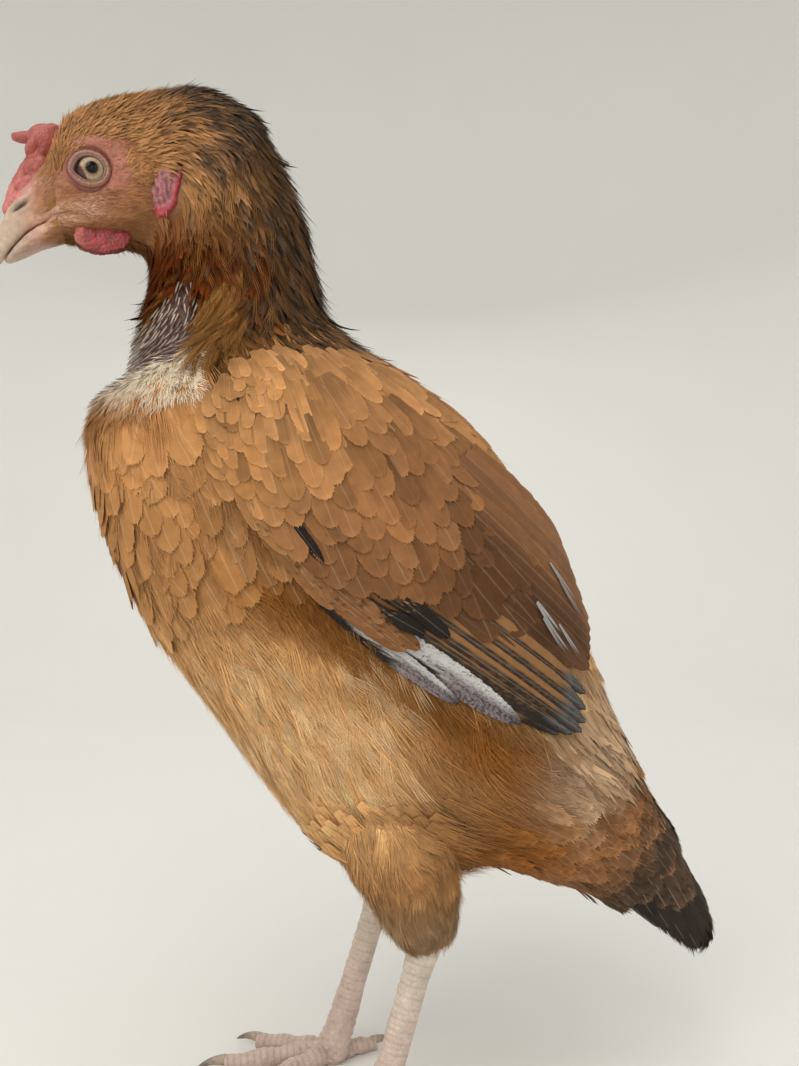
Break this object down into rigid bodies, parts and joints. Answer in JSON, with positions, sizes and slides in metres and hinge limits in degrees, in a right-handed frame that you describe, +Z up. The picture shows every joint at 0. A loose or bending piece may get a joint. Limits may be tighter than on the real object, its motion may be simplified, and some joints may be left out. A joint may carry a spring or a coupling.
{
  "type": "aseel hen",
  "caption": "Life-size standing game hen with an upright body, folded wings, low closed tail, small pea comb, bare red face and scaled legs.",
  "frame": {"origin": "on the floor under the middle of the bird's overall box", "axes": "+Z up, the bird faces -X, its left side is toward -Y"},
  "size_m": [0.3135, 0.1374, 0.4201],
  "materials": {
    "plumage": "golden buff body feathers, soft sheen",
    "hackle": "short brown neck feathers, dark on the nape",
    "tail_feather": "brown to black tail feathers",
    "face_skin": "bare pink-red skin under short feathers",
    "comb_skin": "bare red comb, wattle and lobe skin",
    "bill_horn": "pinkish tan horn, satin",
    "leg_scale": "pinkish white scaled skin",
    "claw_horn": "grey-brown horn, satin",
    "eye": "wet, pale iris with a black pupil"
  },
  "bodies": {
    "root": {"head": "face_skin", "upper_bill": "bill_horn", "lower_bill": "bill_horn", "comb": "comb_skin", "neck": "hackle", "torso": "plumage", "tail": "tail_feather", "eye_left": "eye", "wattle_left": "comb_skin", "earlobe_left": "comb_skin", "wing_left": "plumage", "thigh_left": "plumage", "shank_left": "leg_scale", "foot_left": "leg_scale", "claw_inner_left": "claw_horn", "claw_middle_left": "claw_horn", "claw_outer_left": "claw_horn", "claw_hind_left": "claw_horn", "eye_right": "eye", "wattle_right": "comb_skin", "earlobe_right": "comb_skin", "wing_right": "plumage", "thigh_right": "plumage", "shank_right": "leg_scale", "foot_right": "leg_scale", "claw_inner_right": "claw_horn", "claw_middle_right": "claw_horn", "claw_outer_right": "claw_horn", "claw_hind_right": "claw_horn"}
  },
  "joints": []
}
